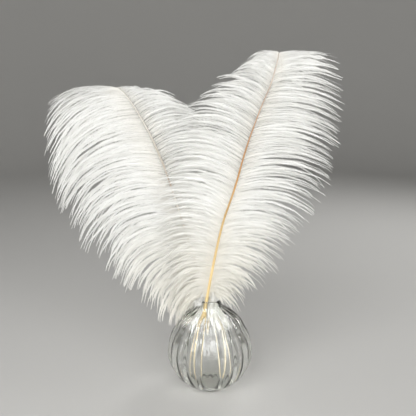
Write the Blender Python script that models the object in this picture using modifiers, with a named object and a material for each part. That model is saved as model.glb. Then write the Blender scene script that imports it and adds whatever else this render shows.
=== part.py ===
"""Two white ostrich plumes resting in a small ribbed bud vase of clear glass.

Metres, +Z up. The origin is the centre of the vase's flat base. The vase is one
turned solid, with ribs pressed into its outside and a smooth turned cavity. Each
plume is one solid: a tapering quill and shaft, with the barbs of its vanes gathered
into curved locks that are fused to it. The two quills cross in the vase's neck.
"""
import math

import bmesh
import bpy
import numpy as np
from mathutils import Matrix

MM = 0.001
OBJECT_NAME = "ostrich_plumes_in_vase"

# ---------------------------------------------------------------- vase (metres)
BULB_RADIUS = 45.0 * MM          # to the crest of a rib
BULB_CENTRE_HEIGHT = 41.0 * MM
BASE_RADIUS = 17.0 * MM
FLOOR_HEIGHT = 5.0 * MM          # inside floor above the table
RIM_HEIGHT = 97.5 * MM
NECK_INNER_RADIUS = 9.3 * MM
WALL = 2.6 * MM                  # between the mean outside and the inside
# Radius and height of points down the lip, neck and shoulder, in millimetres.
OUTSIDE_SHOULDER = ((10.2, 97.5), (11.2, 97.1), (11.6, 96.0), (12.2, 92.4), (14.8, 88.8),
                    (19.6, 85.4), (26.2, 80.4), (31.9, 74.2))
INSIDE_SHOULDER = ((9.3, 92.0), (10.4, 88.0), (14.5, 84.5), (22.6, 79.8), (30.0, 73.3))
RIB_COUNT = 18
RIB_HEIGHT = 0.8 * MM            # crest above the mean surface
RIB_TURN = math.pi / RIB_COUNT   # half a rib, so that a crest faces the front
RIB_FADE_LOW = (1.0 * MM, 12.0 * MM)    # heights over which the ribs rise from the base
RIB_FADE_HIGH = (80.0 * MM, 92.0 * MM)  # heights over which they die out at the neck
SHOULDER_ANGLE = 34              # degrees above the bulb's equator where it begins
LOW_BULB_ANGLE = -62             # degrees from the equator where the base begins
OUTSIDE_STEPS = 3 * RIB_COUNT
CAVITY_STEPS = 36

# ---------------------------------------------------------------- plumes (millimetres)
# A shaft is a smooth curve through its points, from the quill's foot on the vase
# floor to the tip that curls over backwards. Distances along it are arc lengths.
QUILL_RADII = ((0, 0.9), (5, 1.8), (14, 2.1), (70, 1.9), (110, 1.65), (150, 1.4),
               (200, 1.1), (250, 0.85), (300, 0.62), (350, 0.45), (410, 0.35))
RIGHT_SHAFT = ((-17, -1.6, 5.6), (-5.9, -5.4, 82), (-3.4, -6.3, 98.5), (4.1, -8.6, 141.1),
               (13.2, -10.8, 182.9), (24.0, -11.8, 216.1), (36.4, -10.0, 260.0),
               (48.9, -5.9, 294.5), (60.5, 0.0, 322.3), (66.3, 10, 341), (69.5, 25, 349),
               (73.5, 42, 344), (77, 54, 330))
LEFT_SHAFT = ((22, -7, 7.9), (3.7, 2.2, 72), (-3.9, 6.0, 98.5), (-11.5, 9.6, 120.7),
              (-22.6, 16, 156), (-32.6, 22, 187.2), (-43.2, 26, 219.7), (-52.0, 28, 243.6),
              (-63.2, 31, 268.1), (-74.6, 36.1, 288), (-86.8, 46.5, 304.4),
              (-98, 60, 313.5), (-108, 76, 312), (-115, 88, 301))

# A vane's barbs are read at stations that run from 0 at its lowest barb to 1 at the
# shaft's tip. length is the barb's length in millimetres. leave and curl are its angles
# from the shaft at its root and its tip, in degrees. turn and sweep are the angles by
# which root and tip bend backwards out of the vane. droop is the pull of its weight.
# bend above 1 keeps the curl for the outer end.
STATIONS = (0, 0.08, 0.2, 0.35, 0.5, 0.6, 0.7, 0.8, 0.9, 1)
VANE_START = 98                  # arc length at which the open vanes begin
LOCKS_PER_VANE = 23

RIGHT_PLUME_LEFT_VANE = dict(
    side=-1, start=VANE_START, end=None, locks=LOCKS_PER_VANE, stations=STATIONS,
    length=(38, 54, 74, 86, 90, 82, 64, 40, 26, 26),
    leave=(62, 66, 68, 68, 68, 68, 67, 62, 60, 30),
    curl=(165, 150, 132, 124, 120, 118, 116, 110, 90, 50),
    turn=(0, 0, 0, 0, 0, 0, 5, 20, 30, 0),
    sweep=(10, 20, 30, 35, 35, 35, 35, 40, 35, 10),
    droop=(0.7, 0.45, 0.3, 0.2, 0.15, 0.12, 0.12, 0.2, 0.4, 0.6), bend=1.0)
RIGHT_PLUME_RIGHT_VANE = dict(
    side=1, start=VANE_START, end=None, locks=LOCKS_PER_VANE, stations=STATIONS,
    length=(42, 60, 82, 99, 100, 93, 84, 73, 58, 30),
    leave=(52, 50, 48, 48, 50, 52, 53, 53, 55, 30),
    curl=(140, 128, 112, 106, 98, 94, 90, 86, 78, 60),
    turn=(0, 0, 0, 0, 0, 0, 0, 0, 0, 0),
    sweep=(15, 20, 30, 30, 30, 30, 30, 25, 10, 10),
    droop=(0.6, 0.4, 0.25, 0.18, 0.15, 0.15, 0.15, 0.12, 0.12, 0.6), bend=0.8)
LEFT_PLUME_LEFT_VANE = dict(
    side=-1, start=VANE_START, end=None, locks=LOCKS_PER_VANE, stations=STATIONS,
    length=(52, 74, 102, 130, 142, 142, 133, 114, 80, 38),
    leave=(60, 60, 60, 60, 60, 60, 60, 57, 50, 30),
    curl=(165, 150, 138, 130, 126, 124, 122, 115, 122, 90),
    turn=(0, 0, 0, 0, 0, 0, 0, 0, 0, 0),
    sweep=(10, 20, 30, 30, 30, 30, 30, 25, 20, 10),
    droop=(0.7, 0.55, 0.4, 0.35, 0.3, 0.3, 0.3, 0.35, 0.4, 0.6), bend=1.25)
LEFT_PLUME_RIGHT_VANE = dict(
    side=1, start=VANE_START, end=None, locks=LOCKS_PER_VANE, stations=STATIONS,
    length=(40, 55, 75, 88, 90, 82, 70, 50, 20, 28),
    leave=(60, 66, 70, 72, 74, 76, 76, 74, 48, 30),
    curl=(150, 140, 135, 132, 134, 136, 138, 134, 78, 50),
    turn=(0, 0, 0, 0, 0, 0, 0, 0, 0, 0),
    sweep=(10, 20, 30, 30, 30, 30, 30, 30, 25, 10),
    droop=(0.6, 0.4, 0.3, 0.2, 0.2, 0.2, 0.2, 0.25, 0.4, 0.6), bend=0.9)

# Short downy barbs on each side of a quill hang from the neck into the bulb.
DOWN_OUTWARD = dict(start=74, end=92, locks=1, stations=(0, 1), length=(16, 24),
                    leave=(168, 168), curl=(148, 148), turn=(0, 0), sweep=(0, 0),
                    droop=(0.0, 0.0), bend=1.0)
DOWN_INWARD = dict(DOWN_OUTWARD, curl=(170, 170))    # keeps close to its own quill

PLUMES = {
    "feather_right": dict(shaft=RIGHT_SHAFT, vanes=(
        RIGHT_PLUME_LEFT_VANE, RIGHT_PLUME_RIGHT_VANE,
        dict(DOWN_OUTWARD, side=-1), dict(DOWN_INWARD, side=1))),
    "feather_left": dict(shaft=LEFT_SHAFT, vanes=(
        LEFT_PLUME_LEFT_VANE, LEFT_PLUME_RIGHT_VANE,
        dict(DOWN_INWARD, side=-1), dict(DOWN_OUTWARD, side=1))),
}

# Shape of one lock, along its barbs from root to tip.
LOCK_SHARE = 0.86                # of the spacing, so that neighbours stay apart
LOCK_SECTIONS = (0.0, 0.2, 0.45, 0.7, 0.9)
LOCK_WIDTHS = (1.0, 1.0, 1.0, 0.9, 0.5)
LOCK_THICKNESS = (0.6, 1.1, 1.2, 1.0, 0.7)           # half thickness in millimetres
LOCK_ROOT_OFFSET = 0.3           # of the shaft's radius, off its centre line

PATH_SAMPLES = 400
BARB_STEPS = 24
SHAFT_POINTS = 26
SHAFT_BEVEL_RESOLUTION = 2       # eight sides


# ---------------------------------------------------------------- curves
def smooth_curve(points, count):
    """Return a smooth curve through points at even arc steps, and its arc lengths."""
    points = np.array(points, dtype=float)
    chord = np.concatenate(([0.0], np.cumsum(np.linalg.norm(np.diff(points, axis=0), axis=1))))
    slopes = np.gradient(points, chord, axis=0)
    fine = np.linspace(0.0, chord[-1], 20 * count)
    span = np.clip(np.searchsorted(chord, fine, side="right") - 1, 0, len(chord) - 2)
    width = (chord[span + 1] - chord[span])[:, None]
    u = (fine[:, None] - chord[span][:, None]) / width
    curve = ((2 * u**3 - 3 * u**2 + 1) * points[span]
             + (u**3 - 2 * u**2 + u) * width * slopes[span]
             + (3 * u**2 - 2 * u**3) * points[span + 1]
             + (u**3 - u**2) * width * slopes[span + 1])
    arc = np.concatenate(([0.0], np.cumsum(np.linalg.norm(np.diff(curve, axis=0), axis=1))))
    even = np.linspace(0.0, arc[-1], count)
    return interpolate(curve, arc, even), even


def interpolate(values, arc, at):
    """Read each column of values, given at the arc lengths arc, at the lengths at."""
    return np.stack([np.interp(at, arc, column) for column in values.T], axis=-1)


def arc_points(radius, centre, start, end, count):
    """Return points of an arc in the profile plane; angles in degrees from +X."""
    angles = np.radians(np.linspace(start, end, count))
    return [(centre[0] + radius * math.cos(a), centre[1] + radius * math.sin(a))
            for a in angles]


# ---------------------------------------------------------------- scene helpers
def clear_scene():
    for item in list(bpy.data.objects):
        bpy.data.objects.remove(item, do_unlink=True)


def new_collection(name):
    collection = bpy.data.collections.new(name)
    bpy.context.scene.collection.children.link(collection)
    return collection


def new_material(name, colour, roughness, metallic=0.0, transmission=0.0, ior=1.5):
    material = bpy.data.materials.new(name)
    material.use_nodes = True
    shader = material.node_tree.nodes["Principled BSDF"]
    shader.inputs["Base Color"].default_value = (*colour, 1.0)
    shader.inputs["Roughness"].default_value = roughness
    shader.inputs["Metallic"].default_value = metallic
    shader.inputs["Transmission Weight"].default_value = transmission
    shader.inputs["IOR"].default_value = ior
    return material


def new_object(name, data, collection):
    item = bpy.data.objects.new(name, data)
    collection.objects.link(item)
    return item


def evaluated_mesh(item):
    """Return a free copy of an object's mesh with its modifiers or bevel applied."""
    bpy.context.view_layer.update()
    graph = bpy.context.evaluated_depsgraph_get()
    return bpy.data.meshes.new_from_object(item.evaluated_get(graph))


def hide_cutter(item):
    item.hide_render = True
    item.display_type = "WIRE"


def smooth_shading(mesh, angle):
    mesh.shade_smooth()
    mesh.set_sharp_from_angle(angle=math.radians(angle))


# ---------------------------------------------------------------- vase
def outside_profile():
    """Return the vase's outside from the middle of its mouth down to the base."""
    shoulder = [(r * MM, z * MM) for r, z in OUTSIDE_SHOULDER]
    bulb = arc_points(BULB_RADIUS - RIB_HEIGHT, (0.0, BULB_CENTRE_HEIGHT),
                      SHOULDER_ANGLE, LOW_BULB_ANGLE, 8)
    return [(0.0, RIM_HEIGHT)] + shoulder + bulb + [(BASE_RADIUS, 0.0), (0.0, 0.0)]


def cavity_profile():
    """Return the cavity from above the mouth down to the inside floor."""
    above = RIM_HEIGHT + WALL
    mouth = [(0.0, above), (NECK_INNER_RADIUS, above)]
    shoulder = [(r * MM, z * MM) for r, z in INSIDE_SHOULDER]
    radius = BULB_RADIUS - RIB_HEIGHT - WALL
    floor_angle = math.degrees(math.asin((FLOOR_HEIGHT - BULB_CENTRE_HEIGHT) / radius))
    bulb = arc_points(radius, (0.0, BULB_CENTRE_HEIGHT), SHOULDER_ANGLE, floor_angle, 7)
    return mouth + shoulder + bulb + [(0.0, FLOOR_HEIGHT)]


def turned_object(name, profile, steps, collection):
    """Turn a profile about Z, and keep the result as a plain mesh."""
    mesh = bpy.data.meshes.new(name)
    mesh.from_pydata([(r, 0.0, z) for r, z in profile],
                     [(i, i + 1) for i in range(len(profile) - 1)], [])
    turned = new_object(name, mesh, collection)
    screw = turned.modifiers.new("turn", "SCREW")
    screw.steps = steps
    screw.render_steps = steps
    screw.use_merge_vertices = True
    screw.merge_threshold = 0.00001
    turned.data = evaluated_mesh(turned)
    turned.modifiers.clear()
    return turned


def press_ribs(mesh):
    """Move the bulb's outside out and in along its radius, rib by rib."""
    for vertex in mesh.vertices:
        radius = math.hypot(vertex.co.x, vertex.co.y)
        if radius <= BASE_RADIUS:
            continue
        rise = np.interp(vertex.co.z, RIB_FADE_LOW, (0.0, 1.0))
        fall = np.interp(vertex.co.z, RIB_FADE_HIGH, (1.0, 0.0))
        angle = math.atan2(vertex.co.y, vertex.co.x)
        wave = RIB_HEIGHT * math.cos(RIB_COUNT * angle) * min(rise, fall)
        vertex.co.x *= (radius + wave) / radius
        vertex.co.y *= (radius + wave) / radius


def make_vase(collection, cutters):
    vase = turned_object("glass_vase", outside_profile(), OUTSIDE_STEPS, collection)
    press_ribs(vase.data)
    vase.data.transform(Matrix.Rotation(RIB_TURN, 4, "Z"))
    cavity = turned_object("vase_cavity", cavity_profile(), CAVITY_STEPS, cutters)
    hide_cutter(cavity)
    hollow = vase.modifiers.new("hollow", "BOOLEAN")
    hollow.operation = "DIFFERENCE"
    hollow.object = cavity
    hollow.solver = "EXACT"
    smooth_shading(vase.data, 50)
    vase.data.materials.append(
        new_material("clear_glass", (0.93, 0.95, 0.90), 0.03, transmission=1.0, ior=1.5))


# ---------------------------------------------------------------- plumes
def shaft_frame(points):
    """Return the shaft's points, arc lengths, direction, right side and front."""
    path, arc = smooth_curve(points, PATH_SAMPLES)
    along = np.gradient(path, arc, axis=0)
    along /= np.linalg.norm(along, axis=1)[:, None]
    right = np.array((1.0, 0.0, 0.0)) - along[:, :1] * along
    right /= np.linalg.norm(right, axis=1)[:, None]
    return dict(path=path, arc=arc, along=along, right=right, front=np.cross(right, along))


def barb_path(frame, vane, station):
    """Return the points of the barb that leaves the shaft at a station of a vane."""
    end = frame["arc"][-1] if vane["end"] is None else vane["end"]
    at = vane["start"] + (end - vane["start"]) * station
    root, along, right, front = (interpolate(frame[key], frame["arc"], at)
                                 for key in ("path", "along", "right", "front"))
    length, leave, curl, turn, sweep, droop = (
        float(np.interp(station, vane["stations"], vane[key]))
        for key in ("length", "leave", "curl", "turn", "sweep", "droop"))
    radius = np.interp(at, *zip(*QUILL_RADII))
    points = [root + vane["side"] * LOCK_ROOT_OFFSET * radius * right]
    for step in range(BARB_STEPS):
        share = (step + 0.5) / BARB_STEPS
        swing = math.radians(leave + (curl - leave) * share ** vane["bend"])
        back = math.radians(turn + (sweep - turn) * share)
        across = vane["side"] * math.cos(back) * right - math.sin(back) * front
        heading = math.cos(swing) * along + math.sin(swing) * across
        heading[2] -= droop * share
        heading /= np.linalg.norm(heading)
        points.append(points[-1] + heading * length / BARB_STEPS)
    return np.array(points)


def lock_rings(frame, vane, index):
    """Return a lock's sections, each four points round its middle barb, and its tip."""
    spacing = 1.0 / vane["locks"]
    middle = (index + 0.5) * spacing
    half = LOCK_SHARE * spacing / 2
    steps = np.linspace(0.0, 1.0, BARB_STEPS + 1)
    centre = barb_path(frame, vane, middle)
    headings = np.gradient(centre, steps, axis=0)
    rings = []
    for share, width, thickness in zip(LOCK_SECTIONS, LOCK_WIDTHS, LOCK_THICKNESS):
        low, high = (interpolate(barb_path(frame, vane, middle + sign * half * width),
                                 steps, share) for sign in (-1, 1))
        middle_point = (low + high) / 2
        normal = np.cross(high - low, interpolate(headings, steps, share))
        normal *= thickness / np.linalg.norm(normal)
        rings.append((low, middle_point + normal, high, middle_point - normal))
    return rings, centre[-1]


def loft_mesh(name, rings, tip):
    """Join sections of four points into a closed solid that ends in a point."""
    shape = bmesh.new()
    loops = [[shape.verts.new(point * MM) for point in ring] for ring in rings]
    end = shape.verts.new(tip * MM)
    shape.faces.new(loops[0])
    for first, second in zip(loops, loops[1:]):
        for i in range(4):
            j = (i + 1) % 4
            shape.faces.new((first[i], first[j], second[j], second[i]))
    for i in range(4):
        shape.faces.new((loops[-1][i], loops[-1][(i + 1) % 4], end))
    bmesh.ops.triangulate(shape, faces=shape.faces)
    bmesh.ops.recalc_face_normals(shape, faces=shape.faces)
    mesh = bpy.data.meshes.new(name)
    shape.to_mesh(mesh)
    shape.free()
    return mesh


def make_shaft(name, frame, collection):
    """Make the tapering quill and shaft as one closed mesh."""
    arcs = np.linspace(0.0, frame["arc"][-1], SHAFT_POINTS)
    curve = bpy.data.curves.new(name, "CURVE")
    curve.dimensions = "3D"
    curve.bevel_depth = MM
    curve.bevel_resolution = SHAFT_BEVEL_RESOLUTION
    curve.use_fill_caps = True
    spline = curve.splines.new("POLY")
    spline.points.add(SHAFT_POINTS - 1)
    for point, arc in zip(spline.points, arcs):
        point.co = (*(interpolate(frame["path"], frame["arc"], arc) * MM), 1.0)
        point.radius = np.interp(arc, *zip(*QUILL_RADII))
    rough = new_object(name, curve, collection)
    mesh = evaluated_mesh(rough)
    bpy.data.objects.remove(rough, do_unlink=True)
    shape = bmesh.new()
    shape.from_mesh(mesh)
    bmesh.ops.remove_doubles(shape, verts=shape.verts, dist=0.00001)
    bmesh.ops.recalc_face_normals(shape, faces=shape.faces)
    shape.to_mesh(mesh)
    shape.free()
    return new_object(name, mesh, collection)


def make_plume(name, plume, collection, lock_collection, material):
    """Make one plume: its shaft with every lock of its vanes fused on."""
    frame = shaft_frame(plume["shaft"])
    shaft = make_shaft(name, frame, collection)
    for vane in plume["vanes"]:
        for index in range(vane["locks"]):
            rings, tip = lock_rings(frame, vane, index)
            lock_name = f"{name}_lock_{len(lock_collection.objects)}"
            lock = new_object(lock_name, loft_mesh(lock_name, rings, tip), lock_collection)
            hide_cutter(lock)
    fuse = shaft.modifiers.new("fuse_locks", "BOOLEAN")
    fuse.operation = "UNION"
    fuse.operand_type = "COLLECTION"
    fuse.collection = lock_collection
    fuse.solver = "EXACT"
    shaft.data.materials.append(material)


def main():
    clear_scene()
    collection = new_collection(OBJECT_NAME)
    make_vase(collection, new_collection("cutters"))
    for name, plume in PLUMES.items():
        white = new_material(f"{name}_barbs", (0.90, 0.89, 0.86), 0.75)
        make_plume(name, plume, collection, new_collection(f"{name}_locks"), white)


main()
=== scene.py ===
# %% [markdown]
# # Two ostrich plumes in a ribbed bud vase
#
# The object is two white ostrich feathers that stand in a small ball of clear ribbed
# glass. The CAD frame gives every piece its place: the vase, and each feather as one
# solid with its vanes as thick locks. This lesson keeps those places and makes what the
# eye sees instead: thousands of fine barbs with downy barbules, the horny shafts, and
# glass that bends the quills behind its ribs.

# %% Load the frame
import math

import bmesh
import bpy
import numpy as np
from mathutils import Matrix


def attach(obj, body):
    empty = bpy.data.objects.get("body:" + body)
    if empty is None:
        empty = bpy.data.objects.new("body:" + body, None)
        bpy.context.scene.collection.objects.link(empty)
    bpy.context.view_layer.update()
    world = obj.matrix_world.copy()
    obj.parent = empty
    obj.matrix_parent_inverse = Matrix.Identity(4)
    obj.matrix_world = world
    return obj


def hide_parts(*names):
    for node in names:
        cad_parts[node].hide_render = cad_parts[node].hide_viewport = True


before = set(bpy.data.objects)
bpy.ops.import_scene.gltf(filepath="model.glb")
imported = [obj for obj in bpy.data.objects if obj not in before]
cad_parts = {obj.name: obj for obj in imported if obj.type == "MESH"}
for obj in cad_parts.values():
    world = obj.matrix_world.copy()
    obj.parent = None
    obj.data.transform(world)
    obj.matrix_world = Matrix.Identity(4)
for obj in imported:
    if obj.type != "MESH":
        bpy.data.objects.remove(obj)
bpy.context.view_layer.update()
MM = 0.001
print("nodes:", sorted(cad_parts))

# %% [markdown]
# ## Small tools
#
# Blender wants linear colours, but people read hex codes from a screen, so one
# function turns one into the other. Another adds a shader node with its settings and
# links in one call. An input without a name of its own is given by its number, as in
# `_0`. Three more make the parts that materials share.


# %% Colour and node helpers
def linear(hex_colour):
    """Turn an sRGB hex code into Blender's linear RGBA."""
    values = [int(hex_colour[i:i + 2], 16) / 255 for i in (1, 3, 5)]
    low = [v / 12.92 for v in values]
    high = [((v + 0.055) / 1.055) ** 2.4 for v in values]
    return (*[a if v <= 0.04045 else b for v, a, b in zip(values, low, high)], 1.0)


def new_material(name):
    """Start a node material with nothing in it."""
    material = bpy.data.materials.new(name)
    material.use_nodes = True
    material.node_tree.nodes.clear()
    return material


def add_node(material, kind, settings=None, **inputs):
    """Add a node, set its properties, and fill its inputs with values or links."""
    tree = material.node_tree
    item = tree.nodes.new(kind)
    for name, value in (settings or {}).items():
        setattr(item, name, value)
    for name, value in inputs.items():
        numbered = name[1:].isdigit()
        socket = item.inputs[int(name[1:]) if numbered else name.replace("_", " ")]
        if isinstance(value, bpy.types.NodeSocket):
            tree.links.new(value, socket)
        else:
            socket.default_value = value
    return item


def colour_ramp(material, value, stops):
    """Turn a value into a colour by stops, which are pairs of value and hex colour."""
    node = add_node(material, "ShaderNodeValToRGB", Fac=value)
    elements = node.color_ramp.elements
    while len(elements) < len(stops):
        elements.new(0.5)
    for element, (place, colour) in zip(elements, stops):
        element.position = place
        element.color = linear(colour)
    return node.outputs[0]


def map_and_noise(material, stretch, detail, stops):
    """Return the map's u and v, and a noise stretched over it, coloured by stops."""
    place = add_node(material, "ShaderNodeUVMap", {"uv_map": "OFBake"}).outputs[0]
    parts = add_node(material, "ShaderNodeSeparateXYZ", Vector=place)
    stretched = add_node(material, "ShaderNodeVectorMath", {"operation": "MULTIPLY"},
                         _0=place, _1=stretch)
    noise = add_node(material, "ShaderNodeTexNoise", {"noise_dimensions": "2D"},
                     Vector=stretched.outputs[0], Scale=1.0, Detail=detail)
    colour = colour_ramp(material, noise.outputs[0], stops)
    return parts.outputs["X"], parts.outputs["Y"], colour


def multiply(material, first, second):
    """Return the product of two colours, which is one tinted with the other."""
    settings = {"data_type": "RGBA", "blend_type": "MULTIPLY"}
    node = add_node(material, "ShaderNodeMix", settings, _0=1.0, _6=first, _7=second)
    return node.outputs[2]


print("white in linear values:", linear("#FFFFFF"))

# %% [markdown]
# Barbs and shafts are tubes. A mesh object is quickest made from whole arrays of points
# and faces. Each piece then rides on the one body of the frame, and stands for a solid
# of the CAD.


# %% Object and mesh helpers
def add_object(name, data):
    """Add an object for a mesh, a lamp or a camera to the scene."""
    item = bpy.data.objects.new(name, data)
    bpy.context.scene.collection.objects.link(item)
    return item


def tube_faces(index):
    """Return the triangles of tubes from their points' numbers, by ring and side."""
    near, far = index[..., :-1, :], index[..., 1:, :]
    near_next, far_next = np.roll(near, -1, axis=-1), np.roll(far, -1, axis=-1)
    faces = np.stack((near, near_next, far_next, near, far_next, far), axis=-1)
    return faces.reshape(-1, 3)


def mesh_object(name, points, faces, uv, material, smooth):
    """Make an object from metre points, equal-sized faces and one UV per corner."""
    mesh = bpy.data.meshes.new(name)
    faces = np.asarray(faces, dtype=np.int32)
    starts = np.arange(0, faces.size, faces.shape[1], dtype=np.int32)
    mesh.vertices.add(len(points))
    mesh.vertices.foreach_set("co", np.asarray(points, dtype=np.float32).ravel())
    mesh.loops.add(faces.size)
    mesh.loops.foreach_set("vertex_index", faces.ravel())
    mesh.polygons.add(len(faces))
    mesh.polygons.foreach_set("loop_start", starts)
    mesh.update(calc_edges=True)
    layer = mesh.uv_layers.new(name="OFBake")
    layer.uv.foreach_set("vector", np.asarray(uv, dtype=np.float32).ravel())
    mesh.polygons.foreach_set("use_smooth", np.full(len(faces), smooth))
    mesh.materials.append(material)
    return add_object(name, mesh)


def stand_for(item, node_name):
    """Let a piece ride on the one body and take the place of a CAD node."""
    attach(item, "root")
    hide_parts(node_name)
    triangles = sum(len(p.vertices) - 2 for p in item.data.polygons)
    print(f"{item.name}: {triangles} triangles")
    return triangles


print("triangles of a four-sided tube:", len(tube_faces(np.arange(8).reshape(2, 4))))

# %% [markdown]
# ## Camera
#
# The photograph looks down on the vase by about twelve degrees. The mouth of the vase
# shows as a flat ellipse, and its width against its height gives that angle. A lens of
# 52 mm on a 36 mm sensor sees the same perspective as the photograph.

# %% Place the camera
CAMERA_PLACE = (-0.002, -0.597, 0.322)
CAMERA_PITCH = 12.0  # degrees below the horizon
CAMERA_LENS = 51.9   # mm
SENSOR_WIDTH = 36.0  # mm

camera_data = bpy.data.cameras.new("camera")
camera_data.lens = CAMERA_LENS
camera_data.sensor_width = SENSOR_WIDTH
camera_data.clip_start = 0.01
camera = add_object("camera", camera_data)
camera.location = CAMERA_PLACE
camera.rotation_euler = (math.radians(90.0 - CAMERA_PITCH), 0.0, 0.0)
bpy.context.scene.camera = camera
print("camera lens:", CAMERA_LENS, "mm")

# %% [markdown]
# ## Floor and surroundings
#
# White feathers need a darker background. The floor is pale, but the lamps stand close
# to the object, so it falls off to grey behind the plumes. Far out it curves up into a
# round wall: clear glass gathers the whole room into its ribs, and a floor that just
# ended would show there as a hard dark edge. A dim grey surround fills the rest.

# %% Make the floor
FLOOR_COLOUR = "#C6C5C2"
SURROUND_COLOUR = "#55565A"
SURROUND_STRENGTH = 0.6
SWEEP_START = 1.6   # m from the vase, where the floor begins to rise
SWEEP_RADIUS = 1.2  # m, of its curve up into the wall
WALL_TOP = 7.0      # m
SWEEP_SIDES = 120
SWEEP_POINTS = 25   # from flat to upright

floor_material = new_material("matt_studio_board")
board = add_node(floor_material, "ShaderNodeBsdfPrincipled",
                 Base_Color=linear(FLOOR_COLOUR), Roughness=0.85)
add_node(floor_material, "ShaderNodeOutputMaterial", Surface=board.outputs[0])

rise = np.radians(np.linspace(0, 90, SWEEP_POINTS))
reach = np.append(SWEEP_START + SWEEP_RADIUS * np.sin(rise), SWEEP_START + SWEEP_RADIUS)
height = np.append(SWEEP_RADIUS * (1 - np.cos(rise)), WALL_TOP)
bearings = np.linspace(0, math.tau, SWEEP_SIDES, endpoint=False)
sweep_points = [(0.0, 0.0, 0.0)]
sweep_points += [(r * math.cos(b), r * math.sin(b), z)
                 for b in bearings for r, z in zip(reach, height)]
ring = np.arange(1, len(sweep_points)).reshape(SWEEP_SIDES, -1)
after = np.roll(ring, -1, axis=0)
sweep_faces = [(0, int(a), int(b)) for a, b in zip(ring[:, 0], after[:, 0])]
sweep_faces += np.stack((ring[:, :-1], ring[:, 1:], after[:, 1:], after[:, :-1]),
                        axis=-1).reshape(-1, 4).tolist()
sweep_mesh = bpy.data.meshes.new("studio_sweep")
sweep_mesh.from_pydata(sweep_points, [], sweep_faces)
sweep_mesh.shade_smooth()
sweep_mesh.materials.append(floor_material)
floor = add_object("studio_sweep", sweep_mesh)

world = bpy.data.worlds.new("studio")
bpy.context.scene.world = world
world.use_nodes = True
surround = world.node_tree.nodes["Background"]
surround.inputs["Color"].default_value = linear(SURROUND_COLOUR)
surround.inputs["Strength"].default_value = SURROUND_STRENGTH
bpy.context.scene.view_settings.view_transform = "Standard"
print("floor:", len(sweep_faces), "faces, flat as far as", SWEEP_START, "m")

# %% [markdown]
# ## Lamps
#
# The main lamp is a soft box high at the front left. Light from above runs across the
# barbs, so each strand gets a bright top and a soft shadow under it. A wide panel at
# the front right opens those shadows, and a small rim lamp behind outlines the fringe.
#
# Glass shows itself by what it mirrors, and a wide lamp would lay a white patch over
# it. So these three leave no highlights, and the glass gets seven strips of its own:
# tall, narrow lamps that draw fine bright lines along the ribs and don't light the
# feathers.

# %% Hang the lamps
LAMP_AIM = (0.0, 0.0, 0.12)  # m, low in the plumes
STRIP_BEARINGS = (-105, -75, -42, -14, 24, 58, 90)  # degrees from the front
STRIP_DISTANCE = 0.80        # m
STRIP_HEIGHT = 0.95          # m
STRIP_SIZE = (0.10, 1.20)    # m
STRIP_WATTS = 7.5


def add_lamp(name, place, size, watts, mirrored=True, lights_matt=True,
             through_glass=True):
    """Hang a soft lamp of a width and height at a place, turned to the object.

    The flags say if surfaces mirror it, if it lights matt ones, and if it shows through
    glass.
    """
    data = bpy.data.lights.new(name, "AREA")
    data.shape = "RECTANGLE"
    data.size, data.size_y = size
    data.energy = watts
    lamp = add_object(name, data)
    lamp.location = place
    direction = np.array(LAMP_AIM) - np.array(place)
    lamp.rotation_euler = (math.atan2(math.hypot(*direction[:2]), -direction[2]), 0.0,
                           math.atan2(direction[1], direction[0]) - math.pi / 2)
    lamp.visible_camera = False
    lamp.visible_glossy = mirrored
    lamp.visible_diffuse = lights_matt
    lamp.visible_transmission = through_glass


add_lamp("soft_box", (-0.55, -1.25, 0.90), size=(1.30, 1.30), watts=20.4, mirrored=False)
add_lamp("fill_panel", (0.85, -1.75, 0.70), size=(1.70, 1.30), watts=32.5, mirrored=False)
for bearing in STRIP_BEARINGS:
    strip_place = (STRIP_DISTANCE * math.sin(math.radians(bearing)),
                   -STRIP_DISTANCE * math.cos(math.radians(bearing)), STRIP_HEIGHT)
    add_lamp(f"strip_{bearing:+d}", strip_place, STRIP_SIZE, STRIP_WATTS,
             lights_matt=False)
add_lamp("rim_panel", (0.60, 0.80, 0.80), size=(0.45, 0.45), watts=4.0, mirrored=False,
         through_glass=False)

# %% [markdown]
# ## The vase: soda-lime glass, blown into a ribbed mould
#
# Blown glass is a shell with two walls, and both must be in the mesh, because light
# bends at each. The section runs from the inside floor up the cavity, over the thick
# lip and down the outside to the base. Its points are pairs of radius and height in
# mm, joined by a smooth curve, which is cut finer near the lip.

# %% Dimensions of the vase, in mm
BULB_RADIUS = 45.0    # to the crest of a rib
BULB_CENTRE_HEIGHT = 41.0
BASE_RADIUS = 17.0
FLOOR_HEIGHT = 5.0
FLOOR_FILLET = 1.5    # height of the round corner between floor and wall
NECK_INNER_RADIUS = 9.3
WALL = 2.6
RIB_HEIGHT = 1.15
SHOULDER_ANGLE = 34   # degrees up from the bulb's middle, where its arc ends
LOW_BULB_ANGLE = -62  # degrees, where the arc ends at the base
INSIDE_FLOOR = ((0.0, 0.0), (9.0, 0.0), (17.0, 0.2))  # over the floor's height
INSIDE_SHOULDER = ((30.0, 73.3), (22.6, 79.8), (14.5, 84.5), (10.4, 88.0),
                   (NECK_INNER_RADIUS, 92.0))
LIP = ((NECK_INNER_RADIUS, 95.8), (9.5, 96.9), (10.3, 97.5))
OUTSIDE_SHOULDER = ((11.2, 97.1), (11.6, 96.0), (12.2, 92.4), (14.8, 88.8),
                    (19.6, 85.4), (26.2, 80.4), (31.9, 74.2))
FOOT = ((18.4, 0.55), (BASE_RADIUS, 0.05), (14.5, 0.05), (12.5, 0.5), (0.0, 0.9))
INSIDE_ARC_POINTS = 14
OUTSIDE_ARC_POINTS = 16
FINE_POINTS = 1500  # of the curve that the section is cut from
SECTION_STEP = 2.4  # along the section
LIP_STEP = 0.45     # the same within LIP_REACH of the rim
LIP_REACH = 6.0
CURVE_SAMPLES = 20  # worked out for each point that a curve returns


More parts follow.
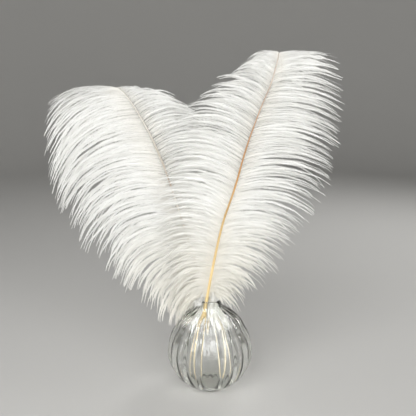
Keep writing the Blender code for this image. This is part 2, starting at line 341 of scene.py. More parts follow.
def arc_lengths(points):
    """Return how far along a path each of its points lies."""
    steps = np.linalg.norm(np.diff(points, axis=0), axis=1)
    return np.concatenate(([0.0], np.cumsum(steps)))


def read_at(values, arc, at):
    """Read each column of values, given at the arc lengths arc, at the lengths at."""
    return np.stack([np.interp(at, arc, column) for column in values.T], axis=-1)


def smooth_curve(points, count):
    """Return a smooth curve through points at even arc steps, and its arc lengths."""
    points = np.array(points, dtype=float)
    chord = arc_lengths(points)
    slopes = np.gradient(points, chord, axis=0)
    fine = np.linspace(0.0, chord[-1], CURVE_SAMPLES * count)
    span = np.clip(np.searchsorted(chord, fine, side="right") - 1, 0, len(chord) - 2)
    width = (chord[span + 1] - chord[span])[:, None]
    u = (fine[:, None] - chord[span][:, None]) / width
    curve = ((2 * u**3 - 3 * u**2 + 1) * points[span]
             + (u**3 - 2 * u**2 + u) * width * slopes[span]
             + (3 * u**2 - 2 * u**3) * points[span + 1]
             + (u**3 - u**2) * width * slopes[span + 1])
    arc = arc_lengths(curve)
    even = np.linspace(0.0, arc[-1], count)
    return read_at(curve, arc, even), even


def bulb_arc(radius, start, end, count):
    """Return points of the bulb's round section between two angles in degrees."""
    return [(radius * math.cos(a), BULB_CENTRE_HEIGHT + radius * math.sin(a))
            for a in np.radians(np.linspace(start, end, count))]


print("bulb:", 2 * BULB_RADIUS, "mm across")

# %% Draw the section of the vase
mean_radius = BULB_RADIUS - RIB_HEIGHT
inner_radius = mean_radius - WALL
fillet_drop = FLOOR_HEIGHT + FLOOR_FILLET - BULB_CENTRE_HEIGHT
floor_angle = math.degrees(math.asin(fillet_drop / inner_radius))
inside = [(r, FLOOR_HEIGHT + z) for r, z in INSIDE_FLOOR]
inside += bulb_arc(inner_radius, floor_angle, SHOULDER_ANGLE, INSIDE_ARC_POINTS)
inside += INSIDE_SHOULDER
outside = list(OUTSIDE_SHOULDER)
outside += bulb_arc(mean_radius, SHOULDER_ANGLE, LOW_BULB_ANGLE, OUTSIDE_ARC_POINTS)
fine, fine_arc = smooth_curve(inside + list(LIP) + outside + list(FOOT), FINE_POINTS)
rim_arc = fine_arc[np.argmax(fine[:, 1])]
at = np.concatenate((np.arange(0.0, rim_arc - LIP_REACH, SECTION_STEP),
                     np.arange(rim_arc - LIP_REACH, rim_arc + LIP_REACH, LIP_STEP),
                     np.arange(rim_arc + LIP_REACH, fine_arc[-1], SECTION_STEP),
                     fine_arc[-1:]))
section = read_at(fine, fine_arc, at)
section[:, 1] = np.maximum(section[:, 1], 0.0)
section[0, 0] = section[-1, 0] = 0.0
outside_start = int(np.argmax(section[:, 1]))
print("vase section:", len(section), "points, highest", round(section[:, 1].max(), 2), "mm")

# %% [markdown]
# ### Ribs
#
# The section is turned about the axis, and only the outside gets ribs: each is one
# wave of a cosine round the bulb. The waves fade out towards the base and the neck. A
# crest faces the front, because each crest works as a tall lens and shows the quills
# behind it as bright bands.

# %% Turn the section and press the ribs
RIB_COUNT = 18
RIB_PHASE = math.pi           # half a wave, so that a crest faces the front
RIB_FADE_LOW = (4.0, 30.0)    # mm, where the ribs rise from the base
RIB_FADE_HIGH = (80.0, 92.0)  # mm, where they die out at the neck
TURN_STEPS = 10 * RIB_COUNT


def turned_vase():
    """Return the points and faces of the turned section, ribbed on its outside."""
    angles = np.arange(TURN_STEPS) * math.tau / TURN_STEPS
    rise = np.interp(section[:, 1], RIB_FADE_LOW, (0.0, 1.0))
    fall = np.interp(section[:, 1], RIB_FADE_HIGH, (1.0, 0.0))
    strength = RIB_HEIGHT * np.minimum(rise, fall)
    strength[:outside_start] = 0.0
    strength[section[:, 0] < BASE_RADIUS] = 0.0
    rows = np.arange(1, len(section) - 1)
    waves = strength[rows][:, None] * np.cos(RIB_COUNT * angles + RIB_PHASE)
    radius = section[rows, 0][:, None] + waves
    rings = np.stack((radius * np.cos(angles), radius * np.sin(angles),
                      np.repeat(section[rows, 1][:, None], TURN_STEPS, axis=1)), axis=-1)
    points = np.concatenate(([(0, 0, section[0, 1])], rings.reshape(-1, 3),
                             [(0, 0, section[-1, 1])]))
    index = 1 + np.arange(rings.shape[0] * TURN_STEPS).reshape(-1, TURN_STEPS)
    after = np.roll(index, -1, axis=1)
    quads = np.stack((index[:-1], after[:-1], after[1:], index[1:]), axis=-1)
    first = zip(index[0].tolist(), after[0].tolist())
    last = zip(index[-1].tolist(), after[-1].tolist())
    fans = [(0, b, a) for a, b in first] + [(len(points) - 1, a, b) for a, b in last]
    return points * MM, quads.reshape(-1, 4), fans


vase_points, vase_quads, vase_fans = turned_vase()
vase_mesh = bpy.data.meshes.new("ribbed_glass_vase")
vase_mesh.from_pydata(vase_points.tolist(), [], vase_quads.tolist() + vase_fans)
shape = bmesh.new()
shape.from_mesh(vase_mesh)
bmesh.ops.recalc_face_normals(shape, faces=shape.faces)
print("vase glass volume:", round(shape.calc_volume() * 1e6, 1), "cm3")
shape.to_mesh(vase_mesh)
shape.free()
vase_mesh.shade_smooth()
vase = add_object("ribbed_glass_vase", vase_mesh)

# %% [markdown]
# ### Finish: clear soda-lime glass
#
# Cheap clear glass has an index of refraction of 1.5 and a trace of iron. The trace
# only shows where light travels far through the glass, such as the lip and the thick
# base, so it is an absorbing volume and not a surface colour. The surface is
# fire-polished, which leaves long, shallow waves: a faint bump of 9 mm breaks up the
# reflections without dulling them.

# %% Soda-lime glass
GLASS_TINT = "#C6CDB4"
GLASS_ABSORPTION = 30.0  # per metre
GLASS_WAVE = 9.0         # mm

glass = new_material("soda_lime_glass_blown")
place = add_node(glass, "ShaderNodeTexCoord")
waves = add_node(glass, "ShaderNodeTexNoise", Vector=place.outputs["Object"],
                 Scale=1000.0 / GLASS_WAVE, Detail=2.0, Roughness=0.4)
ripple = add_node(glass, "ShaderNodeBump", Height=waves.outputs[0], Strength=0.18,
                  Distance=0.0006)
clear = add_node(glass, "ShaderNodeBsdfPrincipled", Base_Color=(1.0, 1.0, 1.0, 1.0),
                 Roughness=0.015, IOR=1.5, Transmission_Weight=1.0,
                 Normal=ripple.outputs[0])
iron = add_node(glass, "ShaderNodeVolumeAbsorption", Color=linear(GLASS_TINT),
                Density=GLASS_ABSORPTION)
add_node(glass, "ShaderNodeOutputMaterial", Surface=clear.outputs[0],
         Volume=iron.outputs[0])
vase_mesh.materials.append(glass)
total_triangles = stand_for(vase, "glass_vase")

# %% [markdown]
# ## The anatomy of a plume
#
# A plume is a horny shaft with a vane on each side. A vane is a row of barbs, which
# leave the shaft at an angle and curl out and down. On an ostrich the barbules on each
# barb have no hooks, so barbs don't zip into a flat sheet: they hang free in strands.
#
# The two shafts follow the same points as in the CAD, and so does the rule for a barb.
# Each vane has a table with values at ten stations, from where the vane begins (0) to
# the tip of the shaft (1):
#
# - `length`, in mm.
# - `leave` and `curl`: its angle from the shaft at its root and tip, in degrees.
# - `turn` and `sweep`: how far it leans back out of the vane there, in degrees.
# - `droop`: how much its own weight pulls the tip down.
#
# The rest holds for the whole vane:
#
# - `side`: -1 for a left vane and 1 for a right one.
# - `bend`: over 1, a barb curls mostly near its tip.
# - `gather`: how firmly locks close.
# - `loose`: the share of a barb that hangs free, thick with barbules.
# - `tilt`: how far a strand's outermost barbules stand up or down, in degrees.
# - `ridge`: how much the middle of a strand stands out.
# - `crest`: how unruly the barbs are near the shaft's tip.
# - `lock`: the fewest strands in a lock, and one more than the most.

# %% Shafts and vanes
QUILL_RADII = ((0, 0.9), (5, 1.8), (14, 2.1), (70, 1.9), (110, 1.65), (150, 1.4),
               (200, 1.1), (250, 0.85), (300, 0.62), (350, 0.45), (410, 0.35))
RIGHT_SHAFT = ((-17, -1.6, 5.6), (-5.9, -5.4, 82), (-3.4, -6.3, 98.5), (4.1, -8.6, 141.1),
               (13.2, -10.8, 182.9), (24.0, -11.8, 216.1), (36.4, -10.0, 260.0),
               (48.9, -5.9, 294.5), (60.5, 0.0, 322.3), (66.3, 10, 341), (69.5, 25, 349),
               (73.5, 42, 344), (77, 54, 330))
LEFT_SHAFT = ((22, -7, 7.9), (3.7, 2.2, 72), (-3.9, 6.0, 98.5), (-11.5, 9.6, 120.7),
              (-22.6, 16, 156), (-32.6, 22, 187.2), (-43.2, 26, 219.7), (-52.0, 28, 243.6),
              (-63.2, 31, 268.1), (-74.6, 36.1, 288), (-86.8, 46.5, 304.4),
              (-98, 60, 313.5), (-108, 76, 312), (-115, 88, 301))
SHAFT_POINTS = 400
VANE_START = 98  # mm along the shaft
STATIONS = (0, 0.08, 0.2, 0.35, 0.5, 0.6, 0.7, 0.8, 0.9, 1)

RIGHT_PLUME_LEFT_VANE = dict(
    side=-1, length=(46, 54, 74, 86, 90, 80, 56, 38, 32, 26),
    leave=(98, 72, 68, 68, 68, 68, 66, 58, 72, 30),
    curl=(176, 154, 132, 124, 120, 118, 116, 108, 90, 50),
    turn=(0, 0, 0, 0, 0, 0, 0, 0, -20, 0),
    sweep=(10, 20, 30, 35, 35, 35, 35, 40, 30, 10),
    droop=(0.7, 0.45, 0.3, 0.2, 0.15, 0.12, 0.12, 0.15, 0.4, 0.6),
    bend=1.0, gather=0.3, loose=0.6, tilt=46, ridge=0.9, crest=1.8, lock=(2, 5))
RIGHT_PLUME_RIGHT_VANE = dict(
    side=1, length=(42, 60, 82, 99, 100, 93, 84, 71, 44, 30),
    leave=(52, 50, 48, 48, 50, 52, 53, 53, 55, 30),
    curl=(140, 128, 112, 106, 98, 94, 88, 78, 68, 60),
    turn=(0, 0, 0, 0, 0, 0, 0, 0, -8, 0),
    sweep=(15, 20, 30, 30, 30, 30, 30, 25, 10, 10),
    droop=(0.6, 0.4, 0.25, 0.18, 0.15, 0.15, 0.15, 0.12, 0.12, 0.6),
    bend=0.8, gather=0.25, loose=0.55, tilt=46, ridge=0.9, crest=1.8, lock=(2, 5))
LEFT_PLUME_LEFT_VANE = dict(
    side=-1, length=(52, 74, 102, 130, 142, 142, 133, 114, 80, 38),
    leave=(90, 68, 60, 60, 60, 60, 60, 57, 50, 30),
    curl=(172, 152, 138, 130, 126, 124, 122, 115, 122, 90),
    turn=(0, 0, 0, 0, 0, 0, 0, 0, -14, 0),
    sweep=(10, 20, 30, 30, 30, 30, 30, 25, 20, 10),
    droop=(0.7, 0.55, 0.4, 0.35, 0.3, 0.3, 0.3, 0.35, 0.4, 0.6),
    bend=1.25, gather=0.5, loose=0.74, tilt=24, ridge=0.5, crest=0.5, lock=(3, 7))
LEFT_PLUME_RIGHT_VANE = dict(
    side=1, length=(40, 55, 75, 88, 90, 82, 70, 50, 20, 28),
    leave=(60, 66, 70, 72, 74, 76, 76, 74, 48, 30),
    curl=(150, 140, 135, 132, 134, 136, 138, 134, 78, 50),
    turn=(0,) * 10,
    sweep=(10, 20, 30, 30, 30, 30, 30, 20, 10, 10),
    droop=(0.6, 0.4, 0.3, 0.2, 0.2, 0.2, 0.2, 0.25, 0.4, 0.6),
    bend=0.9, gather=0.3, loose=0.6, tilt=46, ridge=1.0, crest=4.0, lock=(2, 5))


def shaft_frame(points):
    """Return a shaft's points, arc lengths, direction, right side and front, in mm."""
    path, arc = smooth_curve(points, SHAFT_POINTS)
    along = np.gradient(path, arc, axis=0)
    along /= np.linalg.norm(along, axis=1)[:, None]
    right = np.array((1.0, 0.0, 0.0)) - along[:, :1] * along
    right /= np.linalg.norm(right, axis=1)[:, None]
    return dict(path=path, arc=arc, along=along, right=right, front=np.cross(right, along))


right_shaft = shaft_frame(RIGHT_SHAFT)
left_shaft = shaft_frame(LEFT_SHAFT)
print("shaft lengths:", round(right_shaft["arc"][-1]), round(left_shaft["arc"][-1]), "mm")

# %% [markdown]
# ### Barbs that gather into strands
#
# A hair system would be the quick way to barbs, but only a mesh keeps their shape when
# the object is exported. Drawn evenly, they would look combed by a machine. Real barbs
# cling to their neighbours, so here two or three make a strand, and a few strands make
# a lock. First the barbs get their stations, closest together near the quill.

# %% Share the barbs out
# Pairs of station and mm from one barb to the next.
BARB_SPACINGS = ((0.0, 0.48), (0.08, 0.62), (0.2, 0.8), (0.5, 1.25), (1.0, 1.3))
BARB_JITTER = (0.2, 0.8)  # of that distance
SPACING_SAMPLES = 2000
STRAND_BARBS = (2, 4)     # fewest, and one more than the most


def place_barbs(shaft, rng):
    """Return the stations of one vane's barbs."""
    fine = np.linspace(0.0, 1.0, SPACING_SAMPLES)
    crowd = (shaft["arc"][-1] - VANE_START) / np.interp(fine, *zip(*BARB_SPACINGS))
    gains = (crowd[1:] + crowd[:-1]) / 2 * np.diff(fine)
    tally = np.concatenate(([0.0], np.cumsum(gains)))
    count = int(tally[-1])
    return np.interp(np.arange(count) + rng.uniform(*BARB_JITTER, count), tally, fine)


def groups(count, sizes, rng):
    """Share things in a row out into groups. Return each one's group and place in it."""
    owner, place = [], []
    while len(owner) < count:
        size = int(rng.integers(*sizes))
        owner += [owner[-1] + 1 if owner else 0] * size
        place += list(np.linspace(-1.0, 1.0, size) if size > 1 else (0.0,))
    return np.array(owner[:count]), np.array(place[:count])


def means(values, owner):
    """Give every thing the mean value of its group."""
    return (np.bincount(owner, values) / np.bincount(owner))[owner]


print("barbs are", BARB_SPACINGS[0][1], "to", BARB_SPACINGS[-1][1], "mm apart")

# %% [markdown]
# A lock shares a small error in length, in swing (in the vane) and in back (out of it).
# Each strand adds its own, then each barb, and a few barbs break loose. The errors grow
# near the quill, which makes the lower fringe ragged, and the angles of very long barbs
# are calmed, or their tips would lie far apart.

# %% Give the barbs their errors
# For a lock, a strand and a barb: as a share of the length, and in degrees.
ERRORS = dict(length=(0.06, 0.05, 0.06), swing=(1.4, 1.0, 1.0), back=(3.0, 4.0, 3.0))
ERROR_LIMIT = 1.3   # times the error, at most
UNRULY_STATIONS = (0.0, 0.12, 0.4, 0.5, 0.75, 0.9)
UNRULY = (4.0, 2.2, 2.2, 1.0, 1.0)  # times the error there; the vane's crest follows
CALM_LENGTH = 80.0  # mm, the longest barbs that aren't calmed
STRAY_SHARE = 0.02
STRAY_SWING = 18.0  # degrees


def barb_errors(stations, vane, lock, strand, rng):
    """Return the errors of a vane's barbs, and which barbs are strays."""
    count = len(stations)
    owners = (lock, strand, np.arange(count))
    chance = [rng.normal(size=(count, 3))[owner] for owner in owners]
    chance = [np.clip(values, -ERROR_LIMIT, ERROR_LIMIT) for values in chance]
    unruly = np.interp(stations, UNRULY_STATIONS, (*UNRULY, vane["crest"]))
    errors = {key: sum(size * values[:, i] for size, values in zip(sizes, chance)) * unruly
              for i, (key, sizes) in enumerate(ERRORS.items())}
    length = np.interp(stations, STATIONS, vane["length"])
    calm = np.minimum(1.0, CALM_LENGTH / length) ** 2
    stray = rng.random(count) < STRAY_SHARE
    errors["back"] *= calm
    errors["swing"] *= calm
    errors["swing"] += stray * rng.normal(0.0, STRAY_SWING, count)
    return errors, stray


print("usual swing: up to", round(ERROR_LIMIT * sum(ERRORS["swing"]), 1), "degrees")

# %% [markdown]
# A barb grows step by step: its heading swings from one angle to the other, leans back
# out of the vane, and drops with its weight. All the barbs of a vane grow at once, as
# one array.

# %% Grow the paths of the barbs
BARB_STEPS = 24
SHARES = np.linspace(0.0, 1.0, BARB_STEPS + 1)  # of a barb's length, at its points
LONGEST = 1.03             # times the length in the table
ROOT_OFFSET = (0.7, 0.45)  # of the shaft's radius, beside and in front of its middle


def unit(vectors):
    """Bring vectors to length one."""
    return vectors / np.linalg.norm(vectors, axis=-1, keepdims=True)


def barb_paths(shaft, vane, stations, errors):
    """Return barbs as an array of barb, step and coordinate, and the vane's front."""
    at = VANE_START + (shaft["arc"][-1] - VANE_START) * stations
    root, along, right, front = (read_at(shaft[key], shaft["arc"], at)
                                 for key in ("path", "along", "right", "front"))
    length, leave, curl, turn, sweep, droop = (
        np.interp(stations, STATIONS, vane[key])
        for key in ("length", "leave", "curl", "turn", "sweep", "droop"))
    radius = np.interp(at, *zip(*QUILL_RADII))[:, None]
    beside, before = ROOT_OFFSET
    here = root + radius * (beside * vane["side"] * right + before * front)
    stride = (length * (LONGEST - np.abs(errors["length"])) / BARB_STEPS)[:, None]
    path = [here]
    for step in range(BARB_STEPS):
        share = (step + 0.5) / BARB_STEPS
        swing = leave + (curl - leave + errors["swing"]) * share ** vane["bend"]
        back = turn + (sweep - turn + errors["back"]) * share
        swing, back = np.radians(swing)[:, None], np.radians(back)[:, None]
        across = vane["side"] * np.cos(back) * right - np.sin(back) * front
        heading = np.cos(swing) * along + np.sin(swing) * across
        heading[:, 2] -= droop * share
        here = here + unit(heading) * stride
        path.append(here)
    return np.stack(path, axis=1), front


print("points on a barb:", len(SHARES))

# %% [markdown]
# Now the barbs draw together towards the middle of their strand, and a little later
# towards that of their lock. The weaker hold near the quill and at the tip keeps the
# fringe open there. Last, every barb gets a fine wave, and the middle of each strand
# stands out as a low ridge, which catches the light.

# %% Gather the barbs into strands and locks
GATHERED = 0.95  # of the length, from where a group is fully closed
# Pairs of station and hold, the least and most grip of a barb, and how much earlier
# than at the vane's `loose` it starts.
STRAND_RULE = dict(hold=((0.0, 0.4), (0.2, 0.6), (0.45, 0.85)), grip=(0.45, 1.0), ahead=0.3)
LOCK_RULE = dict(hold=((0.7, 1.0), (0.85, 0.4)), grip=(0.6, 1.0), ahead=0.1)
WAVE_LENGTHS = (17.0, 34.0)  # mm
WAVE_HEIGHTS = (0.45, 0.35)  # mm, out of the vane and in it
WAVE_RATIO = 0.7             # turns of the wave in the vane for one out of it
WAVE_FADE = 4                # full from a quarter of the barb on
RIDGE_RISE = 1.1             # mm, from a strand's outer barbs to its middle
RIDGE_SINK = 0.4             # mm, of the outer barbs
RIDGE_FADE = 5               # full from a fifth of the barb on


def pull(loose, ahead):
    """Return how far a group has closed at each step of its barbs, from 0 to 1."""
    part = np.clip((SHARES - loose + ahead) / (GATHERED - loose + ahead), 0, 1)
    return (part * part * (3 - 2 * part))[None, :, None]


def add_waves(path, front, stations, vane, rng):
    """Give barbs fine waves. Return them with their front and upper sides."""
    phase = rng.uniform(0, math.tau, (len(path), 2, 1))
    length = np.interp(stations, STATIONS, vane["length"])[:, None]
    wave_length = rng.uniform(*WAVE_LENGTHS, (len(path), 1))
    turns = SHARES[None, :] * length / wave_length * math.tau
    fade = np.minimum(1.0, SHARES * WAVE_FADE)[None, :]
    heading = unit(np.gradient(path, axis=1))
    front = front[:, None]
    face = unit(front - (front * heading).sum(-1, keepdims=True) * heading)
    upper = unit(np.cross(heading, face)) * -vane["side"]
    out, up = WAVE_HEIGHTS
    path = path + face * (out * fade * np.sin(turns + phase[:, 0]))[..., None]
    path = path + upper * (up * fade * np.sin(WAVE_RATIO * turns + phase[:, 1]))[..., None]
    return path, face, upper


def grow_vane(shaft, vane, seed):
    """Return the barbs of one vane, with what their barbules need to know."""
    rng = np.random.default_rng(seed)
    stations = place_barbs(shaft, rng)
    strand, place = groups(len(stations), STRAND_BARBS, rng)
    lock = groups(strand[-1] + 1, vane["lock"], rng)[0][strand]
    errors, stray = barb_errors(stations, vane, lock, strand, rng)
    path, front = barb_paths(shaft, vane, stations, errors)
    for owner, rule, firm in ((strand, STRAND_RULE, 1), (lock, LOCK_RULE, vane["gather"])):
        core = barb_paths(shaft, vane, means(stations, owner), errors)[0]
        hold = firm * np.interp(stations, *zip(*rule["hold"]))
        hold = np.where(stray, 0.0, hold * rng.uniform(*rule["grip"], len(stations)))
        closing = pull(vane["loose"], rule["ahead"])
        path = path + (core - path) * closing * hold[:, None, None]
    path, face, upper = add_waves(path, front, stations, vane, rng)
    ridge = vane["ridge"] * (RIDGE_RISE * (1 - np.abs(place)) - RIDGE_SINK)
    lift = ridge[:, None] * np.minimum(1.0, SHARES * RIDGE_FADE)[None, :]
    return dict(path=path + face * lift[..., None], face=face, upper=upper,
                stations=stations, tilt=vane["tilt"] * place, rng=rng)


print("closed groups: from", GATHERED, "of a barb's length")

# %% [markdown]
# ### Barbules
#
# The down on a barb is what makes a plume white and soft. Each barbule is one narrow
# triangle, 0.36 mm wide at its root: at this scale a finer one would vanish between
# pixels. They lean towards the tip of the barb, get shorter there, and tilt up on the
# upper side of a strand and down on the lower side. That tilt is what draws the fine
# light and grey lines across the vane. The barb itself is a thin rod. The map runs
# along the barb in u and along the vane in v.

# %% Turn paths into rods and barbules
ROD_SIDES = 3
ROD_SKIP = 2                    # a rod needs only every second point of its barb
ROD_RADII = (0.26, 0.05)        # mm, at the root and the tip
ROD_MAP_WIDTH = 0.0004          # in v, so that no face is a mere line in the map
BARBULES_PER_MM = 8.2           # on both sides together
BARBULE_CROWD = 0.85            # under 1, barbules stand closer towards the tip
BARBULE_WIDTH = 0.36            # mm
BARBULE_LEAN = (34.0, 56.0)     # degrees from the barb
BARBULE_SCATTER = 14.0          # degrees, about the strand's tilt
BARBULE_LENGTHS = (0.65, 1.15)  # times the length at its place, least and most
BARBULE_MAP_WIDTH = 0.004       # in u, to each side


def rods(barbs):
    """Return three-sided rods round the barbs: points, triangles and corner UVs."""
    path, face, upper = (barbs[key][:, ::ROD_SKIP] for key in ("path", "face", "upper"))
    count, steps = path.shape[:2]
    share = np.linspace(0.0, 1.0, steps)
    radius = np.interp(share, (0.0, 1.0), ROD_RADII)[None, :, None]
    turn = np.arange(ROD_SIDES) * math.tau / ROD_SIDES
    points = np.stack([path + radius * (math.cos(a) * face + math.sin(a) * upper)
                       for a in turn], axis=2)
    index = np.arange(count * steps * ROD_SIDES).reshape(count, steps, ROD_SIDES)
    faces = tube_faces(index)
    u = np.broadcast_to(share[None, :, None], index.shape).ravel()
    v = np.broadcast_to(barbs["stations"][:, None, None], index.shape).ravel()
    v = v + np.tile(np.arange(ROD_SIDES) * ROD_MAP_WIDTH, count * steps)
    return points.reshape(-1, 3), faces, np.stack((u[faces], v[faces]), axis=-1)


def barbules(barbs, per_mm, width, lengths):
    """Return one triangle for each barbule: points, triangles and corner UVs."""
    path, rng = barbs["path"], barbs["rng"]
    reach = np.linalg.norm(np.diff(path, axis=1), axis=-1).sum(axis=1)
    counts = np.maximum(1, (reach * per_mm).astype(int))
    barb = np.repeat(np.arange(len(path)), counts)
    total = len(barb)
    first = np.repeat(np.cumsum(counts) - counts, counts)
    share = (np.arange(total) - first + rng.random(total)) / np.repeat(counts, counts)
    share = share ** BARBULE_CROWD
    place = share * (path.shape[1] - 1)
    step = np.minimum(place.astype(int), path.shape[1] - 2)
    part = (place - step)[:, None]
    root = path[barb, step] * (1 - part) + path[barb, step + 1] * part
    heading = unit(path[barb, step + 1] - path[barb, step])
    face, upper = barbs["face"][barb, step], barbs["upper"][barb, step]
    side = np.where(np.arange(total) % 2, 1.0, -1.0)
    tilt = np.radians(barbs["tilt"][barb] + rng.normal(0, BARBULE_SCATTER, total))
    across = side[:, None] * (np.cos(tilt)[:, None] * upper - np.sin(tilt)[:, None] * face)
    lean = np.radians(rng.uniform(*BARBULE_LEAN, total))[:, None]
    length = np.interp(share, *zip(*lengths)) * rng.uniform(*BARBULE_LENGTHS, total)
    tip = root + length[:, None] * (np.cos(lean) * heading + np.sin(lean) * across)
    half = heading * width / 2
    points = np.stack((root - half, root + half, tip), axis=1).reshape(-1, 3)
    faces = np.arange(3 * total).reshape(-1, 3)
    v, drift = barbs["stations"][barb], BARBULE_MAP_WIDTH
    uv = np.stack((np.stack((share - drift, v), -1), np.stack((share + drift, v), -1),
                   np.stack((share, v + drift / 4), -1)), axis=1)
    return points, faces, uv


def vane_lengths(loose):
    """Return share and mm of the barbules of a barb that thins out from loose on."""
    return ((0.0, 1.6), (0.06, 2.4), (0.3, 2.7), (loose, 2.5), (0.5 + loose / 2, 1.2),
            (1.0, 0.4))


def barb_mesh(name, barbs, material, lengths, per_mm=BARBULES_PER_MM, width=BARBULE_WIDTH):
    """Join the rods and barbules of one row of barbs into one object."""
    rod_points, rod_faces, rod_uv = rods(barbs)
    down_points, down_faces, down_uv = barbules(barbs, per_mm, width, lengths)
    points = np.concatenate((rod_points, down_points)) * MM
    faces = np.concatenate((rod_faces, down_faces + len(rod_points)))
    uv = np.clip(np.concatenate((rod_uv, down_uv)), 0.0, 1.0)
    return mesh_object(name, points, faces, uv, material, smooth=False)


print("barbules on 100 mm of barb:", int(100 * BARBULES_PER_MM))

# %% [markdown]
# ### Finish: bleached ostrich barbs
#
# Barbs are keratin with no pigment, as thin as a hair, so they scatter light and also
# let it through. Much of the look is that glow: the material mixes a rough white
# surface with a translucent one. Thanks to the map, strands differ a little, roots near
# the shaft are creamier, and the down near the quill is the creamiest.

# %% Barb material
BARB_WHITE = "#FCFCFB"
STREAK_STOPS = ((0.35, "#F2F2F0"), (0.6, BARB_WHITE))
ROOT_STOPS = ((0.0, "#FBF9F5"), (0.22, BARB_WHITE))  # along a barb
LOW_STOPS = ((0.0, "#FDFBF6"), (0.3, "#FFFFFF"))     # along the vane
STREAK_STRETCH = (3.0, 120.0, 1.0)  # of the noise along a barb and along the vane
GLOW_SHARE = 0.35  # of the light that passes through a barb

barb_white = new_material("keratin_down_bleached")
u, v, streaks = map_and_noise(barb_white, STREAK_STRETCH, 2.0, STREAK_STOPS)
tint = multiply(barb_white, streaks, colour_ramp(barb_white, u, ROOT_STOPS))
tint = multiply(barb_white, tint, colour_ramp(barb_white, v, LOW_STOPS))
surface = add_node(barb_white, "ShaderNodeBsdfPrincipled", Base_Color=tint,
                   Roughness=0.75, IOR=1.55, Specular_IOR_Level=0.25)
glow = add_node(barb_white, "ShaderNodeBsdfTranslucent", Color=tint)
both = add_node(barb_white, "ShaderNodeMixShader", _0=GLOW_SHARE, _1=surface.outputs[0],
                _2=glow.outputs[0])
add_node(barb_white, "ShaderNodeOutputMaterial", Surface=both.outputs[0])
print("barb material:", barb_white.name)

# %% [markdown]
# ### The four vanes
#
# Each vane grows from its own seed, so it comes out the same every time. A vane with
# very many barbules is cut in two pieces, a lower and an upper one.

# %% Make the four vanes
MOST_BARBULES = 170_000  # in one piece

for piece_name, shaft, vane, node_name, seed in (
        ("right_plume_left_vane", right_shaft, RIGHT_PLUME_LEFT_VANE, "feather_right", 11),
        ("right_plume_right_vane", right_shaft, RIGHT_PLUME_RIGHT_VANE,
         "feather_right", 12),
        ("left_plume_left_vane", left_shaft, LEFT_PLUME_LEFT_VANE, "feather_left", 15),
        ("left_plume_right_vane", left_shaft, LEFT_PLUME_RIGHT_VANE, "feather_left", 14)):
    barbs = grow_vane(shaft, vane, seed)
    barb_total = np.linalg.norm(np.diff(barbs["path"], axis=1), axis=-1).sum()
    cut = barb_total * BARBULES_PER_MM > MOST_BARBULES
    names = [f"{piece_name}_lower", f"{piece_name}_upper"] if cut else [piece_name]
    shares = np.array_split(np.arange(len(barbs["path"])), len(names))
    for name, chosen in zip(names, shares):
        some = {key: values if key == "rng" else values[chosen]
                for key, values in barbs.items()}
        piece = barb_mesh(name, some, barb_white, vane_lengths(vane["loose"]))
        total_triangles += stand_for(piece, node_name)

# %% [markdown]
# ## Shafts
#
# The shaft is solid keratin, thick and hollow at the quill and as fine as a bristle at
# the tip. It is swept as a tube along the same curve, a little flatter from front to
# back, as a real shaft is.
#
# ### Finish: horn
#
# Horn is smooth enough for a soft highlight that runs along the shaft, and faint fibres
# keep it from looking like plastic. The front shaft goes from straw at the quill over
# tan to pinkish grey at the tip. The back one is creamy at the quill, white where down
# dusts it, and greyish above.

# %% Horn of the shafts
TAN_STOPS = ((0.0, "#E9DFC2"), (0.2, "#EAD49E"), (0.33, "#E2C790"), (0.45, "#CDB07A"),
             (0.56, "#B98A4F"), (0.67, "#B08760"), (0.77, "#B8A594"), (1.0, "#D6CBC3"))
PALE_STOPS = ((0.0, "#E9DFC2"), (0.2, "#EBE1C6"), (0.3, "#F4F1EA"), (0.54, "#F2EEE6"),
              (0.58, "#C6B6A8"), (0.65, "#C0B9AE"), (0.75, "#C9C4BB"), (1.0, "#E0DCD4"))
FIBRE_STOPS = ((0.3, "#D9D3C8"), (0.62, "#FFFFFF"))
FIBRE_STRETCH = (9.0, 14.0, 1.0)  # of the noise round the shaft and along it


def shaft_material(name, stops):
    """Return polished keratin whose colour runs along the shaft by stops."""
    material = new_material(name)
    _, v, fibres = map_and_noise(material, FIBRE_STRETCH, 4.0, FIBRE_STOPS)
    tint = multiply(material, colour_ramp(material, v, stops), fibres)
    horn = add_node(material, "ShaderNodeBsdfPrincipled", Base_Color=tint,
                    Roughness=0.38, IOR=1.55)
    add_node(material, "ShaderNodeOutputMaterial", Surface=horn.outputs[0])
    return material


tan_horn = shaft_material("keratin_shaft_tan", TAN_STOPS)
pale_horn = shaft_material("keratin_shaft_pale", PALE_STOPS)
print("horn:", tan_horn.name, "and", pale_horn.name)

# %% Sweep the shafts
SHAFT_SIDES = 14
SHAFT_RINGS = 150
SHAFT_FLATNESS = 0.88
MAP_HEIGHTS = (0.01, 0.99)  # in v, of the first and last ring
MAP_WIDTH = 0.9             # in u, of one turn; the face across the seam reads on
SEAM_GAP = 0.6              # in u, that only the face across the seam spans


